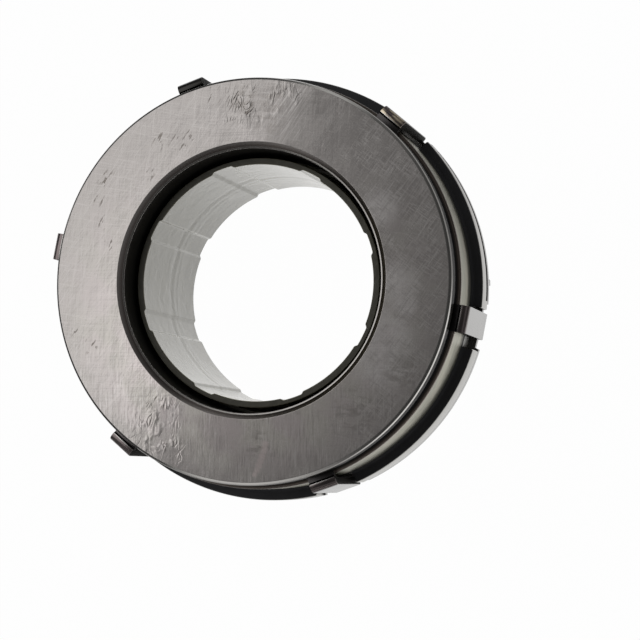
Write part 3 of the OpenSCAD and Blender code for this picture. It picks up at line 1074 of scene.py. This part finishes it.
def inner_pieces():
    """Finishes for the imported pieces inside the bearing."""
    dressed = {
        "front_seal": soft_rubber(),
        "rear_shield": turned_steel("shield_steel_sheet", (0.38, 0.37, 0.36), 0.35, line_depth),
        "ball_cage": moulded_polymer("cage_polymer_moulded", (0.33, 0.22, 0.11), 0.40, 0.0),
        "wave_washer": turned_steel("blued_spring_steel", (0.22, 0.23, 0.27), 0.30, fine_line_depth),
    }
    for name, finish in dressed.items():
        frame["nodes"][name].material_slots[0].material = finish


# Stage, where a reach, rise or fall is where a tone begins and where it is full
camera_place = Vector((59.97, 76.65, 365.83)) * MM
camera_aim = Vector((9.92, 8.71, 32.6)) * MM
camera_lens = 123.75
table_r = 110 * MM
table_segments = 128
shaded_sides = (118.0, 318.0)
shaded_reach = (32.0, 50.0)
shade_strength = 0.85
table_colour = (0.88, 0.88, 0.88, 1)
white_share = 0.985
horizon_rise = (-0.13, -0.07)
horizon_fall = (0.14, 0.02)
glow_angle = 345.0
glow_level = 0.66
glow_floor = 0.1
glow_reach = (0.1, 0.9)
far_glow_angle = 168.0
far_glow_reach = (0.85, 0.98)
far_glow_level = 0.45
ceiling_tilt = 35.0
ceiling_reach = (0.86, 0.97)
ceiling_level = 0.29
room_level = 0.053
wall_rise = (0.27, 0.40)
wall_fall = (0.76, 0.56)
wall_level = 0.18
softbox_line = 5.3 * MM
softbox_side_angle = 228.0
softbox_height = 500 * MM
softbox_size = (500 * MM, 700 * MM)
softbox_radiance = 0.54


def set_camera():
    """A camera at the photograph's angle."""
    data = bpy.data.cameras.new("camera")
    data.lens = camera_lens
    data.sensor_width = 36.0
    data.clip_start = 0.01
    camera = bpy.data.objects.new("camera", data)
    back = (camera_place - camera_aim).normalized()
    right = towards(picture_top_angle).cross(back).normalized()
    up = back.cross(right)
    turn = Matrix((right, up, back)).transposed().to_4x4()
    camera.matrix_world = Matrix.Translation(camera_place) @ turn
    bpy.context.scene.collection.objects.link(camera)
    bpy.context.scene.camera = camera


def background_rays(tree):
    """1 for the rays that see a white background, less for mirror images of its shaded sides."""
    path = add(tree, "ShaderNodeLightPath").outputs
    place = millimetres(tree)
    shade = 0.0
    for angle in shaded_sides:
        shade = calc(tree, "MAXIMUM", shade, ramp_share(tree, along(tree, place, angle), *shaded_reach))
    unshaded = calc(tree, "MULTIPLY_ADD", shade, -shade_strength, 1.0)
    mirrored = calc(tree, "MULTIPLY", path["Is Glossy Ray"], unshaded)
    seen = calc(tree, "MAXIMUM", path["Is Camera Ray"], mirrored)
    return calc(tree, "MAXIMUM", seen, path["Is Transmission Ray"])


def table_finish():
    """White table that keeps a soft shadow and can't be seen from below."""
    finish = bpy.data.materials.new("white_table")
    finish.use_nodes = True
    tree = finish.node_tree
    tree.nodes.clear()
    matt = add(tree, "ShaderNodeBsdfDiffuse", {"Color": table_colour}).outputs[0]
    white = add(tree, "ShaderNodeEmission", {"Color": (1, 1, 1, 1), "Strength": 1.0}).outputs[0]
    share = calc(tree, "MULTIPLY", background_rays(tree), white_share)
    top = add(tree, "ShaderNodeMixShader", {0: share, 1: matt, 2: white}).outputs[0]
    clear = add(tree, "ShaderNodeBsdfTransparent").outputs[0]
    below = add(tree, "ShaderNodeNewGeometry").outputs["Backfacing"]
    both = add(tree, "ShaderNodeMixShader", {0: below, 1: top, 2: clear}).outputs[0]
    add(tree, "ShaderNodeOutputMaterial", {"Surface": both})
    return finish


def set_table():
    """A round white table under the part."""
    shape = bmesh.new()
    bmesh.ops.create_circle(shape, cap_ends=True, segments=table_segments, radius=table_r)
    table = piece_from("table", shape, [table_finish()])


def set_world():
    """A dark studio with grey walls and a bright band round its horizon, white behind the part."""
    world = bpy.data.worlds.new("studio")
    bpy.context.scene.world = world
    world.use_nodes = True
    tree = world.node_tree
    tree.nodes.clear()
    direction = add(tree, "ShaderNodeTexCoord").outputs["Generated"]
    height = add(tree, "ShaderNodeSeparateXYZ", {0: direction}).outputs["Z"]
    horizon = ramp_share(tree, height, *horizon_rise)
    band = calc(tree, "MULTIPLY", horizon, ramp_share(tree, height, *horizon_fall))
    near_glow = ramp_share(tree, along(tree, direction, glow_angle), *glow_reach)
    far_glow = ramp_share(tree, along(tree, direction, far_glow_angle), *far_glow_reach)
    dimmest = glow_floor * glow_level
    side = calc(tree, "MULTIPLY_ADD", near_glow, glow_level - dimmest, dimmest)
    side = calc(tree, "MULTIPLY_ADD", far_glow, far_glow_level, side)
    lean = math.radians(ceiling_tilt)
    sideways = calc(tree, "MULTIPLY", along(tree, direction, softbox_side_angle), math.sin(lean))
    above = calc(tree, "MULTIPLY_ADD", height, math.cos(lean), sideways)
    overhead = ramp_share(tree, above, *ceiling_reach)
    ceiling = calc(tree, "MULTIPLY_ADD", overhead, ceiling_level, room_level)
    wall = ramp_share(tree, height, *wall_rise)
    wall = calc(tree, "MULTIPLY", wall, ramp_share(tree, height, *wall_fall))
    upper = calc(tree, "MULTIPLY_ADD", wall, wall_level, ceiling)
    level = calc(tree, "MULTIPLY_ADD", band, side, upper)
    path = add(tree, "ShaderNodeLightPath").outputs
    strength = add(tree, "ShaderNodeMix", {0: path["Is Camera Ray"], 2: level, 3: 1.0}).outputs[0]
    sky = add(tree, "ShaderNodeBackground", {"Color": (1, 1, 1, 1), "Strength": strength}).outputs[0]
    add(tree, "ShaderNodeOutputWorld", {"Surface": sky})


def set_softbox():
    """A softbox up and to the left, whose near edge shows as a line across the thrust face."""
    rise = softbox_height / (camera_place.z - face_z)
    side = towards(softbox_side_angle)
    edge_away = softbox_line * (1 + rise) - rise * camera_place.dot(side)
    edge = side * edge_away + Vector((0, 0, face_z + softbox_height))
    target = Vector((0, 0, face_z))
    facing = (target - edge).normalized()
    level = facing.cross(Vector((0, 0, 1))).normalized()
    outward = facing.cross(level).normalized()
    if outward.dot(side) < 0:
        outward = -outward
    centre = edge + outward * softbox_size[0] / 2
    data = bpy.data.lights.new("softbox", "AREA")
    data.shape = "RECTANGLE"
    data.size, data.size_y = softbox_size
    data.energy = 4 * softbox_radiance * softbox_size[0] * softbox_size[1]
    light = bpy.data.objects.new("softbox", data)
    back = outward.cross(outward.cross(facing)).normalized()
    if back.dot(facing) > 0:
        back = -back
    turn = Matrix((outward, back.cross(outward), back)).transposed().to_4x4()
    light.matrix_world = Matrix.Translation(centre) @ turn
    bpy.context.scene.collection.objects.link(light)


thrust_ring()
outer_race()
retainer_plate()
guide_sleeve()
balls()
inner_pieces()
set_camera()
set_table()
set_world()
set_softbox()
bpy.context.scene.view_settings.view_transform = "Standard"
